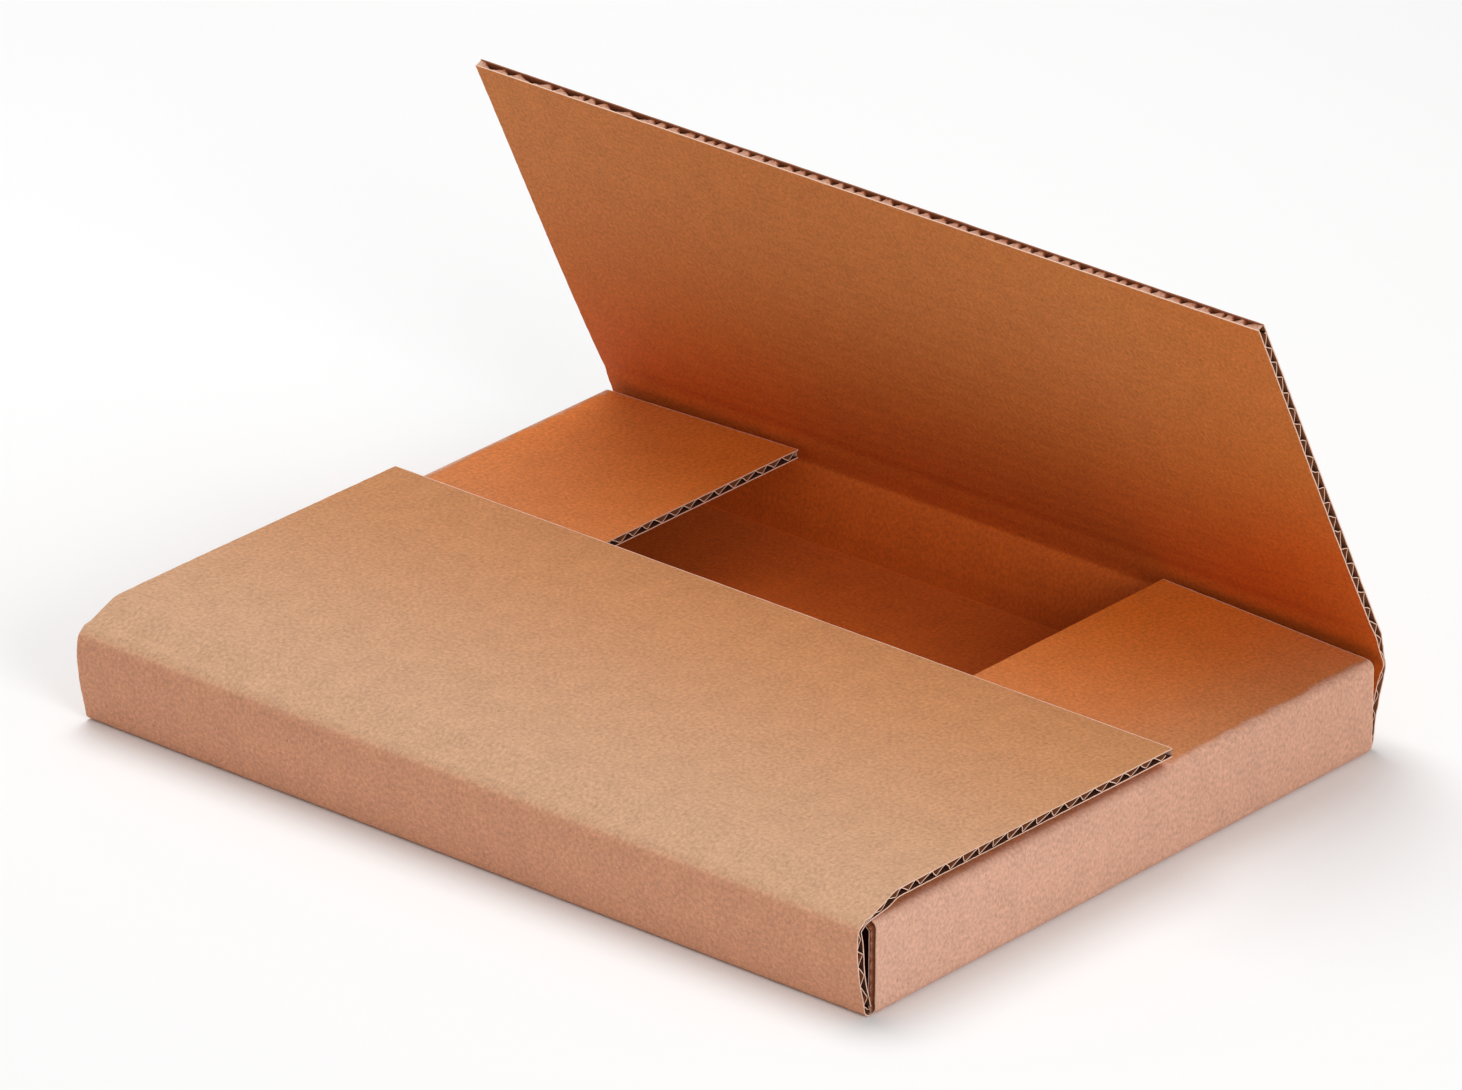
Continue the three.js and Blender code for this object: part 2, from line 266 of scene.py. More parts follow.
def back_panel():
    wall = [
        np.array([HALF_WIDTH + out * BACK_LEAN, up * BACK_CREASE[1]])
        for out, up, _ in BACK_WALL_STATIONS
    ]
    step = BACK_SCORE - BACK_CREASE
    strip = [BACK_CREASE + step * np.array([back, up]) for back, up, _ in STRIP_STATIONS]
    along = np.array([-math.cos(BACK_FLAP_ANGLE), math.sin(BACK_FLAP_ANGLE)])
    tip = BACK_SCORE + BACK_FLAP_LENGTH * along
    near = BACK_SCORE + SCORE_FADE * along
    thick = [BOARD * share for _, _, share in BACK_WALL_STATIONS] + [BACK_CREASE_SHARE * BOARD]
    thick += [BOARD * share for _, _, share in STRIP_STATIONS] + [SCORE_SHARE * BOARD, BOARD, BOARD]
    upper = [*wall, BACK_CREASE, *strip, BACK_SCORE, near, tip]
    floor = arc((HALF_WIDTH - FLOOR_RADIUS, FLOOR_RADIUS), FLOOR_RADIUS, 270, 360, FOLD_STEPS)
    corner = (HALF_WIDTH - BOARD - INNER_FOLD, BOARD + INNER_FOLD)
    inner = arc(corner, INNER_FOLD, 270, 360, FOLD_STEPS)
    inner += offset_inward([floor[-1], *upper], [BOARD, *thick], 1)[1:]

    def sides(s, outer):
        taper = BACK_TAPER * np.clip(1 - outer[:, 1] / BACK_TAPER_HEIGHT, 0, 1)
        return BACK_LOW[0] + taper, BACK_HIGH[0] - taper

    panel = Panel([*floor, *upper], inner, sides)
    panel.crease_s = panel.stations[len(floor) + len(wall)]
    return panel


def end_panel(reach, end):
    tip_x = HALF_LENGTH - reach
    slope = END_FLAP_RISE / (reach - END_CREASE_RADIUS)
    inside = HALF_LENGTH - BOARD
    floor = arc((HALF_LENGTH - FLOOR_RADIUS, FLOOR_RADIUS), FLOOR_RADIUS, 270, 360, FOLD_STEPS)
    inner_floor = arc((inside - INNER_FOLD, BOARD + INNER_FOLD), INNER_FOLD, 270, 360, FOLD_STEPS)
    centre = (HALF_LENGTH - END_CREASE_RADIUS, END_HEIGHT - END_CREASE_RADIUS)
    bend = arc(centre, END_CREASE_RADIUS, 0, 90, END_BEND_STEPS)
    under = END_HEIGHT - BOARD
    bend_low = np.array([inside, under - INNER_BEND_DROP])
    bend_high = np.array([inside - BOARD / 2, under + slope * BOARD / 2])
    inner_bend = [bend_low * (1 - t) + bend_high * t for t in np.linspace(0, 1, END_BEND_STEPS + 1)]
    lower = [np.array([HALF_LENGTH, z]) for z in END_WALL_STATIONS]
    inner_lower = [np.array([inside, z]) for z in END_WALL_STATIONS]
    flat = [centre[0] - END_FLAP_START, (centre[0] + tip_x) / 2, tip_x]
    upper = [np.array([x, END_HEIGHT + slope * (centre[0] - x)]) for x in flat]
    inner_upper = [p - np.array([0, BOARD]) for p in upper]
    crease_x = inside - RELIEF_START

    def sides(s, outer):
        front = -HALF_WIDTH + END_SETBACK
        on_flap = outer[:, 1] > END_HEIGHT - 0.5
        steps_x = [tip_x, crease_x - RELIEF_CORNER, crease_x]
        depths = [RELIEF_TIP_DEPTH, RELIEF_CORNER_DEPTH, 0.0]
        cut = np.where(on_flap, np.interp(outer[:, 0], steps_x, depths), 0.0)
        return front + cut, np.full(len(s), HALF_WIDTH - END_SETBACK)

    outer = [*floor, *lower, *bend, *upper]
    inner = [*inner_floor, *inner_lower, *inner_bend, *inner_upper]
    panel = Panel(outer, inner, sides, end)
    panel.crease_s = panel.stations[len(floor) + len(lower) + END_BEND_STEPS // 2]
    panel.bend_end_s = panel.stations[len(floor) + len(lower) + len(bend) - 1]
    return panel


class Builder:
    """Collects grids of points into one mesh with UVs in metres and a material per face."""

    def __init__(self):
        self.points, self.faces, self.uvs, self.kinds, self.smooth = [], [], [], [], []
        self.count = 0

    def grid(self, points, uv, kind=0, smooth=True, flip=False):
        """points is rows x columns x 3 in millimetres, and uv is rows x columns x 2."""
        rows, columns = points.shape[:2]
        index = self.count + np.arange(rows * columns).reshape(rows, columns)
        self.points.append(points.reshape(-1, 3))
        a, b = index[:-1, :-1].ravel(), index[:-1, 1:].ravel()
        c, d = index[1:, 1:].ravel(), index[1:, :-1].ravel()
        quads = np.column_stack([a, b, c, d] if not flip else [a, d, c, b])
        self.faces.append(quads)
        self.uvs.append(uv.reshape(-1, 2))
        self.kinds.append(np.full(len(quads), kind))
        self.smooth.append(np.full(len(quads), smooth))
        self.count += rows * columns

    def finish(self, name, materials):
        points = np.vstack(self.points) * MM
        faces = np.vstack(self.faces)
        mesh = bpy.data.meshes.new(name)
        mesh.from_pydata(points.tolist(), [], faces.tolist())
        uv_layer = mesh.uv_layers.new(name="sheet")
        uv = (np.vstack(self.uvs) * MM)[faces.ravel()]
        uv_layer.data.foreach_set("uv", uv.ravel())
        mesh.polygons.foreach_set("material_index", np.concatenate(self.kinds).astype(int))
        mesh.polygons.foreach_set("use_smooth", np.concatenate(self.smooth))
        mesh.update()
        obj = bpy.data.objects.new(name, mesh)
        bpy.context.scene.collection.objects.link(obj)
        for material in materials:
            mesh.materials.append(material)
        return obj


def uv_grid(s, w, width):
    ss, ww = np.meshgrid(s, w * width, indexing="ij")
    return np.dstack([ww, ss])


def spaced(start, end, step, dense=()):
    """Values from start to end at about one step, plus dense ones where a list of them asks."""
    count = max(2, int(round((end - start) / step)) + 1)
    values = np.concatenate([np.linspace(start, end, count), *dense])
    return np.unique(np.round(values[(values >= start) & (values <= end)], 4))


def fray(points, s, w, width, seed):
    """Draws the cut edges of a sheet in by an uneven hair, at its two sides and at its tip."""
    across = points[:, -1] - points[:, 0]
    across /= np.linalg.norm(across, axis=1, keepdims=True)
    along = points[-1] - points[-3]
    along /= np.linalg.norm(along, axis=1, keepdims=True)
    for column, sign, shift in ((0, 1, 3), (-1, -1, 5)):
        bite = RAGGED * (0.5 + 0.5 * hash_noise(s / 1.6, seed + shift))
        points[:, column] += sign * across * bite[:, None]
    bite = RAGGED * (0.5 + 0.5 * hash_noise(w * width / 2.4, seed + 7))
    points[-1] -= along * bite[:, None]
    return points


def liner(name, panel, inner, s, w, materials, width, painted_shade, bright_edges=()):
    """One liner: a thin sheet with its cut rims. painted_shade(s, w) says how deep its colour is, which is
    painted shade and bounced light, and bright_edges names the free edges whose burr shows as a light line on
    the face. A dull tip is an edge whose rim is as brown as the hidden side, which is painted shade."""
    build = Builder()
    ss, ww = np.meshgrid(s, w, indexing="ij")
    thick = panel.thickness(ss.ravel()).reshape(ss.shape)
    skin = np.minimum(LINER, SKIN_SHARE * thick)
    face_depth = thick if inner else np.zeros_like(thick)
    back_depth = thick - skin if inner else skin
    shape = (*ss.shape, 3)
    face = panel.place(ss, ww, face_depth).reshape(shape)
    back = panel.place(ss, ww, back_depth).reshape(shape)
    seed = panel.seed + (11 if inner else 0)
    face = fray(face, s, w, width, seed)
    back = fray(back, s, w, width, seed)
    uv = uv_grid(s, w, width)
    flip = (panel.end > 0) ^ inner ^ panel.front_like
    rows = len(s) - ("tip" in bright_edges)
    columns = len(w) - ("high" in bright_edges)
    build.grid(face[:rows, :columns], uv[:rows, :columns], 0, True, flip)
    if "tip" in bright_edges:
        build.grid(face[-2:], uv[-2:], 2, True, flip)
    if "high" in bright_edges:
        build.grid(face[:rows, -2:], uv[:rows, -2:], 2, True, flip)
    build.grid(back, uv, 1, True, not flip)
    for pick, at_start in ((np.s_[:1], True), (np.s_[-1:], False)):
        rim = np.concatenate([face[pick], back[pick]], axis=0)
        rim_uv = np.concatenate([uv[pick], uv[pick] + LINER], axis=0)
        kind = 1 if "dull tip" in bright_edges and not at_start else 2
        build.grid(rim, rim_uv, kind, False, at_start ^ flip)
    for pick, at_low in ((np.s_[:, :1], True), (np.s_[:, -1:], False)):
        rim = np.concatenate([face[pick], back[pick]], axis=1)
        rim_uv = np.concatenate([uv[pick], uv[pick] + LINER], axis=1)
        build.grid(rim, rim_uv, 2, False, at_low ^ flip)
    obj = build.finish(name, materials)
    across, along = np.vstack(build.uvs).T
    deep = obj.data.attributes.new("painted_shade", "FLOAT", "POINT")
    deep.data.foreach_set("value", np.clip(painted_shade(along, across / width), 0, 1).astype(np.float32))
    return obj


def flute_wave(phase, panel_seed):
    """The medium's line between the liners, from -1 to 1: straight flanks and round tips."""
    flute = np.floor(phase)
    lean = FLUTE_LEAN * hash_noise(flute * 1.7, panel_seed)
    shifted = phase + lean * np.sin(2 * math.pi * phase)
    return np.arcsin(FLUTE_SHARPNESS * np.sin(2 * math.pi * shifted)) / math.asin(FLUTE_SHARPNESS)


def flute_phase(distance, seed):
    """Which flute each distance lies in, and where in it, with a slow drift of the pitch."""
    drift = FLUTE_DRIFT * hash_noise(distance / (DRIFT_FLUTES * FLUTE_PITCH), seed)
    return (distance + drift) / FLUTE_PITCH


def cut_inset(phase, seed):
    """How far the medium is cut short of the liners, unevenly."""
    return 0.25 * hash_noise(phase * 2.0, seed + 5) + 0.3


def paper_face(points, axis, side):
    """One face of the medium: the points of its middle, moved out by half its thickness."""
    tangent = np.gradient(points, axis=axis)
    tangent /= np.maximum(np.linalg.norm(tangent, axis=2, keepdims=True), 1e-6)
    normal = np.cross(tangent, np.array([1.0, 0, 0]))
    return points + normal * side * MEDIUM / 2


def medium_across(name, panel, materials, width, start, end):
    """The medium of a panel whose flutes run across it, from side to side. The first material
    is on the face toward the outer liner, the second on the cuts and the third below."""
    build = Builder()
    s = np.arange(start, end, FLUTE_PITCH / 22)
    phase = flute_phase(s, panel.seed)
    thick = panel.thickness(s)
    room = np.maximum((thick - 2 * np.minimum(LINER, SKIN_SHARE * thick) - MEDIUM) / 2, LEAST_ROOM)
    middle = thick / 2 + room * flute_wave(phase, panel.seed)
    w = np.array([0.0, 0.02, 0.5, 0.98, 1.0])
    inset = cut_inset(phase, panel.seed)
    ss, ww = np.meshgrid(s, w, indexing="ij")
    depth = np.repeat(middle[:, None], len(w), axis=1)
    points = panel.place(ss, ww, depth).reshape(*ss.shape, 3)
    sheets = []
    for side, kind in ((-1, 0), (1, 2)):
        face = paper_face(points, 0, side)
        face[:, 0, 0] += inset
        face[:, -1, 0] -= inset
        sheets.append(face)
        build.grid(face, uv_grid(s, w, width), kind, True, side > 0)
    for column in (0, -1):
        rim = np.stack([sheets[0][:, column], sheets[1][:, column]], axis=1)
        build.grid(rim, uv_grid(s, np.array([0, 0.002]), width), 1, False, column == 0)
    return build.finish(name, materials)


def medium_along(name, panel, materials, start, end):
    """The medium of an end panel, whose flutes run along it and show at its free edge. Its
    materials are as in medium_across."""
    build = Builder()
    s = np.concatenate([np.linspace(start, end - 6, 5), [end - 2, end - 0.6, end]])
    tip_low, tip_high = panel.sides(np.array([end]), panel.section(np.array([end]))[0])
    across = np.arange(LINER, tip_high[0] - tip_low[0] - LINER, FLUTE_PITCH / 20)
    phase = flute_phase(across, panel.seed)
    ss, aa = np.meshgrid(s, across, indexing="ij")
    sides = panel.sides(ss.ravel(), panel.section(ss.ravel())[0])
    side_low, side_high = (side.reshape(ss.shape) for side in sides)
    share = (tip_low[0] + aa - side_low) / (side_high - side_low)
    thick = panel.thickness(ss.ravel()).reshape(ss.shape)
    room = np.maximum((thick - 2 * LINER - MEDIUM) / 2, LEAST_ROOM)
    pull = np.zeros_like(ss)
    pull[-1] = cut_inset(phase, panel.seed)
    depth = thick / 2 + room * flute_wave(phase, panel.seed)
    points = panel.place(ss - pull, share, depth).reshape(*ss.shape, 3)
    uv = np.dstack([aa, ss])
    sheets = []
    for side, kind in ((-1, 0), (1, 2)):
        face = paper_face(points, 1, side)
        sheets.append(face)
        build.grid(face, uv, kind, True, side > 0)
    rim = np.stack([sheets[0][-1], sheets[1][-1]], axis=0)
    build.grid(rim, np.stack([uv[-1], uv[-1] + 0.2], axis=0), 1, False)
    return build.finish(name, materials)


def torn_ribbon(name, near_lip, far_lip, inward, distance, cavities, materials):
    """The medium torn by the knife along a cut that follows the flutes. It fills the gap between
    two liner lips, with cavities where the knife's teeth pulled it away from the far liner."""
    build = Builder()
    u = np.array([0.0, 0.12, 0.3, 0.5, 0.68, 0.84, 1.0])
    depth = np.zeros((len(distance), len(u)))
    for i, d in enumerate(distance):
        depth[i] = cavities(d, u)
    end_gap = np.minimum(distance - distance[0], distance[-1] - distance)
    depth *= (1 - 0.8 * np.clip(1 - end_gap / CORNER_PINCH, 0, 1))[:, None]
    gap = far_lip - near_lip
    points = near_lip[:, None, :] + gap[:, None, :] * u[None, :, None]
    points = points + inward[:, None, :] * depth[:, :, None]
    along, across = np.meshgrid(distance, u * 2, indexing="ij")
    build.grid(points, np.dstack([along, across]), 0, True)
    obj = build.finish(name, materials)
    attribute = obj.data.attributes.new("tear", "FLOAT", "POINT")
    attribute.data.foreach_set("value", depth.ravel().astype(np.float32))
    return obj


def tooth_marks(length, pitch, seed, open_share=0.72, loose_share=0.0):
    """Cavities of uneven length along a cut: rows of (middle, half length, depth). Over
    loose_share of the length they are longer, where the knife ran down the side of a flute."""
    rng = random.Random(seed)
    marks = []
    at = CORNER_HOLD
    while at < length - 3 * CORNER_HOLD:
        loose = at < loose_share * length and rng.random() < 0.6
        step = pitch * rng.uniform(0.75, 1.3) * (rng.uniform(1.6, 2.6) if loose else 1.0)
        half = step * (0.85 if loose else open_share * rng.uniform(0.55, 1.1)) / 2
        marks.append((at + step / 2, half, rng.uniform(2.0, 3.6)))
        at += step
    return np.array(marks)


def cavities_at(marks):
    """Cavities that are widest at the far lip and come to a point near the near lip."""
    def depth_at(distance, u):
        offset = np.abs(marks[:, 0] - distance) / marks[:, 1]
        near = int(np.argmin(offset))
        reach = max(0.0, 1.0 - offset[near])
        jag = float(hash_noise(np.array([distance / 0.7]), 31)[0])
        coarse = float(hash_noise(np.array([distance / 2.9]), 47)[0])
        point = np.clip((u - (0.74 - 0.62 * reach + 0.13 * jag)) / 0.16, 0, 1)
        ragged = 0.16 * jag + 0.14 * coarse
        return 0.3 + (0.35 + ragged) * u + marks[near, 2] * min(1.0, reach * 2.6) * point

    return depth_at


def smooth_groove(distance, u):
    """The flank of a flute that the knife ran along: one shallow groove."""
    return 0.55 + 0.5 * np.sin(math.pi * u) + 0.3 * u + 0.12 * math.sin(distance * 1.9)


# The paper's grain, in cycles per metre, and where its colours lie on the scale of painted shade, from a
# painted lit rose through pale to deep.
FIBRE_SCALE = 2400.0
CLOUD_SCALE = 130.0
FLOCK_SCALE = 900.0
SPECK_SCALE = 210.0
SPECK_CHOICE = 0.72
SPECK_STRENGTH = 0.5
LIT_ROSE_END = 0.15
MIDDLE_SHADE = 0.6


def node(tree, kind, **values):
    made = tree.nodes.new(kind)
    for key, value in values.items():
        if hasattr(made, key):
            setattr(made, key, value)
        else:
            made.inputs[key].default_value = value
    return made


def scaled_uv(tree, scale):
    """The sheet's own coordinates, in metres, times a scale across and along."""
    source = node(tree, "ShaderNodeUVMap", uv_map="sheet")
    mapping = node(tree, "ShaderNodeMapping")
    mapping.inputs["Scale"].default_value = (*scale, 1.0)
    tree.links.new(source.outputs["UV"], mapping.inputs["Vector"])
    return mapping.outputs["Vector"]


def noise(tree, vector, scale, detail=3.0, roughness=0.55):
    made = node(tree, "ShaderNodeTexNoise")
    made.inputs["Scale"].default_value = scale
    made.inputs["Detail"].default_value = detail
    made.inputs["Roughness"].default_value = roughness
    tree.links.new(vector, made.inputs["Vector"])
    return made.outputs["Fac"]


def remap(tree, value, low, high, to_low, to_high):
    made = node(tree, "ShaderNodeMapRange")
    for name, number in zip(("From Min", "From Max", "To Min", "To Max"), (low, high, to_low, to_high)):
        made.inputs[name].default_value = number
    tree.links.new(value, made.inputs["Value"])
    return made.outputs["Result"]


def math_node(tree, operation, a, b):
    made = node(tree, "ShaderNodeMath", operation=operation)
    for socket, value in zip(made.inputs, (a, b)):
        if isinstance(value, (int, float)):
            socket.default_value = value
        else:
            tree.links.new(value, socket)
    return made.outputs["Value"]


def mix_colour(tree, share, first, second):
    made = node(tree, "ShaderNodeMix", data_type="RGBA")
    for socket, value in zip((made.inputs[0], made.inputs[6], made.inputs[7]), (share, first, second)):
        if isinstance(value, (int, float)):
            socket.default_value = value
        elif isinstance(value, (tuple, list)):
            socket.default_value = (*value, 1.0)
        else:
            tree.links.new(value, socket)
    return made.outputs[2]


def new_material(name):
    material = bpy.data.materials.new(name)
    material.use_nodes = True
    tree = material.node_tree
    shader = tree.nodes["Principled BSDF"]
    shader.inputs["Specular IOR Level"].default_value = 0.3
    return material, tree, shader


def ramp_colour(tree, value, stops):
    made = node(tree, "ShaderNodeValToRGB")
    elements = made.color_ramp.elements
    for _ in range(len(stops) - len(elements)):
        elements.new(0.5)
    for element, (place, colour) in zip(elements, stops):
        element.position = place
        element.color = (*colour, 1.0)
    tree.links.new(value, made.inputs["Fac"])
    return made.outputs["Color"]


def spread(tree, value, low, high):
    """Noise, which lies mostly between 0.3 and 0.7, stretched from low to high."""
    return remap(tree, value, 0.3, 0.7, low, high)


def add_bump(tree, height, strength, distance, normal=None):
    bump = node(tree, "ShaderNodeBump")
    bump.inputs["Strength"].default_value = strength
    bump.inputs["Distance"].default_value = distance
    tree.links.new(height, bump.inputs["Height"])
    if normal:
        tree.links.new(normal, bump.inputs["Normal"])
    return bump.outputs["Normal"]


def dark_specks(tree, colour, speck_colour):
    """A few small dark specks of bark in the pulp."""
    specks = node(tree, "ShaderNodeTexVoronoi")
    specks.inputs["Scale"].default_value = SPECK_SCALE
    tree.links.new(scaled_uv(tree, (1.0, 0.6)), specks.inputs["Vector"])
    near = remap(tree, specks.outputs["Distance"], 0.03, 0.075, 1.0, 0.0)
    separate = node(tree, "ShaderNodeSeparateColor")
    tree.links.new(specks.outputs["Color"], separate.inputs["Color"])
    chosen = math_node(tree, "GREATER_THAN", separate.outputs["Red"], SPECK_CHOICE)
    dark = math_node(tree, "MULTIPLY", near, chosen)
    dark = math_node(tree, "MULTIPLY", dark, SPECK_STRENGTH)
    return mix_colour(tree, dark, colour, speck_colour)


def washboard_normal(tree, height, ridge_along_u, normal):
    """The flutes showing faintly through the liner, as ridges of a height in millimetres."""
    source = node(tree, "ShaderNodeUVMap", uv_map="sheet")
    parts = node(tree, "ShaderNodeSeparateXYZ")
    tree.links.new(source.outputs["UV"], parts.inputs["Vector"])
    along = parts.outputs["X" if ridge_along_u else "Y"]
    angle = math_node(tree, "MULTIPLY", along, 2 * math.pi / (FLUTE_PITCH * MM))
    wave = math_node(tree, "SINE", angle, 0.0)
    return add_bump(tree, wave, 1.0, height * MM, normal)


def kraft_paper(
    name, pale, middle, deep, fibres_across=True, washboard=0.0, ridge_along_u=False, lit_rose=None
):
    """Kraft liner: cloudy pulp, fine fibres along the machine direction, and dark specks. Its
    colour runs from pale to deep with the sheet's painted shade, which also stands in for bounced light, and
    starts from a painted lit rose where given."""
    material, tree, shader = new_material(name)
    stretch = (1.0, 0.3) if fibres_across else (0.3, 1.0)
    fibre = noise(tree, scaled_uv(tree, stretch), FIBRE_SCALE, 4.0, 0.7)
    cloud = noise(tree, scaled_uv(tree, (1.0, 0.7)), CLOUD_SCALE, 4.0, 0.6)
    flock = noise(tree, scaled_uv(tree, (1.0, 0.8)), FLOCK_SCALE, 3.0, 0.7)
    value = spread(tree, fibre, -0.12, 0.12)
    value = math_node(tree, "ADD", value, spread(tree, cloud, -0.06, 0.06))
    value = math_node(tree, "ADD", value, spread(tree, flock, -0.22, 0.2))
    light = math_node(tree, "ADD", value, 1.0)
    # The painted shade attribute picks the colour from pale to deep.
    painted_shade = node(tree, "ShaderNodeAttribute", attribute_name="painted_shade")
    stops = [(0.0, pale), (MIDDLE_SHADE, middle), (1.0, deep)]
    if lit_rose:
        stops = [(0.0, lit_rose), (LIT_ROSE_END, pale), *stops[1:]]
    scale = node(tree, "ShaderNodeVectorMath", operation="SCALE")
    tree.links.new(ramp_colour(tree, painted_shade.outputs["Fac"], stops), scale.inputs[0])
    tree.links.new(light, scale.inputs["Scale"])
    speck_colour = tuple(0.35 * c for c in deep)
    colour = dark_specks(tree, scale.outputs["Vector"], speck_colour)
    tree.links.new(colour, shader.inputs["Base Color"])
    shader.inputs["Roughness"].default_value = 0.78
    height = math_node(tree, "MULTIPLY", fibre, 0.5)
    height = math_node(tree, "ADD", height, math_node(tree, "MULTIPLY", flock, 0.9))
    normal = add_bump(tree, height, 0.35, 0.0001)
    if washboard:
        normal = washboard_normal(tree, washboard, ridge_along_u, normal)
    tree.links.new(normal, shader.inputs["Normal"])
    return material


def cut_paper(name, light, dark):
    """The fuzzy cut edge of a liner or of the medium."""
    material, tree, shader = new_material(name)
    fuzz = noise(tree, scaled_uv(tree, (1.0, 1.0)), 1500.0, 4.0, 0.7)
    colour = mix_colour(tree, spread(tree, fuzz, 0.0, 1.0), light, dark)
    tree.links.new(colour, shader.inputs["Base Color"])
    shader.inputs["Roughness"].default_value = 0.95
    return material


def torn_paper(name, light, middle, dark):
    """Torn medium: light fibres at the cut, darker with the depth of the cavities: the medium's own brown,
    deepened by painted shade.
    """
    material, tree, shader = new_material(name)
    fuzz = noise(tree, scaled_uv(tree, (1.0, 1.0)), 1300.0, 4.0, 0.75)
    tear = node(tree, "ShaderNodeAttribute", attribute_name="tear")
    depth = math_node(tree, "ADD", tear.outputs["Fac"], spread(tree, fuzz, -0.35, 0.35))
    share = remap(tree, depth, 0.2, 2.2, 0.0, 1.0)
    colour = ramp_colour(tree, share, [(0.0, light), (0.28, middle), (1.0, dark)])
    tree.links.new(colour, shader.inputs["Base Color"])
    shader.inputs["Roughness"].default_value = 0.95
    tree.links.new(add_bump(tree, fuzz, 0.6, 0.0004), shader.inputs["Normal"])
    return material


# The colours.
# HIDDEN_SHADE_BROWN is painted shade: the hidden back face of a liner, dark as inside the board.
HIDDEN_SHADE_BROWN = (0.3, 0.1, 0.04)
MEDIUM_BROWN = (0.3, 0.095, 0.035)
SHADED_BROWN = (0.1, 0.028, 0.012)
# The front's rose on the walls is painted light, and its run from pale to deep up the flap is painted shade.
outer_front = kraft_paper(
    "kraft_front", (0.59, 0.34, 0.2), (0.55, 0.28, 0.142), (0.505, 0.222, 0.084), False, 0.012,
    lit_rose=(0.615, 0.286, 0.165),
)
# The end walls' pale rose is painted light; the deep orange of the flaps is painted shade and bounced light.
outer_end = kraft_paper(
    "kraft_ends", (0.65, 0.365, 0.26), (0.55, 0.215, 0.083), (0.72, 0.185, 0.018), True, 0.01, True,
)
# The inner liner's colour: partly its own deeper, redder kraft, partly painted shade and bounced light.
inner_back = kraft_paper(
    "kraft_inside", (0.6, 0.225, 0.064), (0.58, 0.16, 0.026), (0.6, 0.105, 0.006), False, 0.035,
)
hidden = kraft_paper("kraft_hidden", HIDDEN_SHADE_BROWN, HIDDEN_SHADE_BROWN, HIDDEN_SHADE_BROWN, False)
medium_paper = kraft_paper("medium_paper", MEDIUM_BROWN, MEDIUM_BROWN, MEDIUM_BROWN, False)
shaded_paper = kraft_paper("shaded_paper", SHADED_BROWN, SHADED_BROWN, SHADED_BROWN, False)
cut_edge = cut_paper("cut_edge", (0.88, 0.62, 0.5), (0.66, 0.4, 0.28))
# The torn edge darkens with cavity depth as painted shade.
torn_edge = torn_paper("torn_edge", (0.6, 0.36, 0.26), (0.4, 0.12, 0.05), (0.1, 0.025, 0.008))

medium_skins = [medium_paper, cut_edge, shaded_paper]

PANEL_WIDTH = 2 * HALF_LENGTH

# How much painted shade each face carries: its pull from pale toward deep.
FRONT_FLAP_SHADE = 0.8
BACK_OUTER_SHADE = 0.55
INNER_SHADE = 0.35
FLOOR_SHADE = 0.85
COVERED_SHARE = 0.5
RIGHT_CREASE_PAINTED_LIGHT = 0.14
CREASE_WANDER = 0.8

front = front_panel()
back = back_panel()
ends = {"right": end_panel(RIGHT_FLAP_REACH, 1), "left": end_panel(LEFT_FLAP_REACH, -1)}


def rise(value, start, end):
    """0 before start, 1 after end and a smooth step between."""
    t = np.clip((value - start) / (end - start), 0, 1)
    return t * t * (3 - 2 * t)


def edge_shares(width):
    return np.array([0.0, CUT_RIM / width, 3 / width, 1 - 3 / width, 1 - CUT_RIM / width, 1.0])


# Painted light and shade on the front: the wall keeps the painted rose, the flap turns pale over the crease
# and deepens toward its free edge.
def front_painted_shade(s, share):
    over_the_crease = LIT_ROSE_END * rise(s, front.crease_s - 3, front.crease_s + 1)
    return over_the_crease + FRONT_FLAP_SHADE * rise(s, front.crease_s, front.length)


# On the painted shade scale: pale on the wall, deeper up the flap toward its free edge.
def back_outer_painted_shade(s, share):
    return LIT_ROSE_END + BACK_OUTER_SHADE * rise(s, back.crease_s, back.length)


# Painted shade and bounced light on the back's inner face: deepest on the wall and at the crease, paling up
# the flap, and deeper toward its right end.
def back_painted_shade(s, share):
    height = (s - back.crease_s) / (back.length - back.crease_s)
    return 0.12 + 0.85 * (1 - rise(height, 0.0, 0.85)) + 0.3 * rise(share, 0.75, 1.0)


# Painted shade and bounced light on an end panel: the wall a little deeper toward the back, the flap deeper
# toward the back and its tip, the right flap paler by its crease as painted light, and the line between wall
# and flap wandering unevenly.
def end_painted_shade(panel):
    def painted_shade(s, share):
        on_wall = 0.12 * share
        toward_tip = (s - panel.bend_end_s) / (panel.length - panel.bend_end_s)
        beyond_cover = np.maximum(share, COVERED_SHARE)
        on_flap = 0.5 + 0.42 * rise(beyond_cover, 0.2, 1.0) + 0.12 * rise(toward_tip, 0.2, 1.0) * share
        if panel.end > 0:
            on_flap = on_flap - RIGHT_CREASE_PAINTED_LIGHT * (1 - rise(toward_tip, 0.0, 0.5))
        uneven = CREASE_WANDER * hash_noise(share * 60, panel.seed)
        return on_wall + (on_flap - on_wall) * rise(s + uneven, panel.crease_s + 1.2, panel.bend_end_s + 1.4)

    return painted_shade


# All inner liners carry one even amount of painted shade.
def deep_painted_shade(s, share):
    return np.full_like(s, INNER_SHADE)


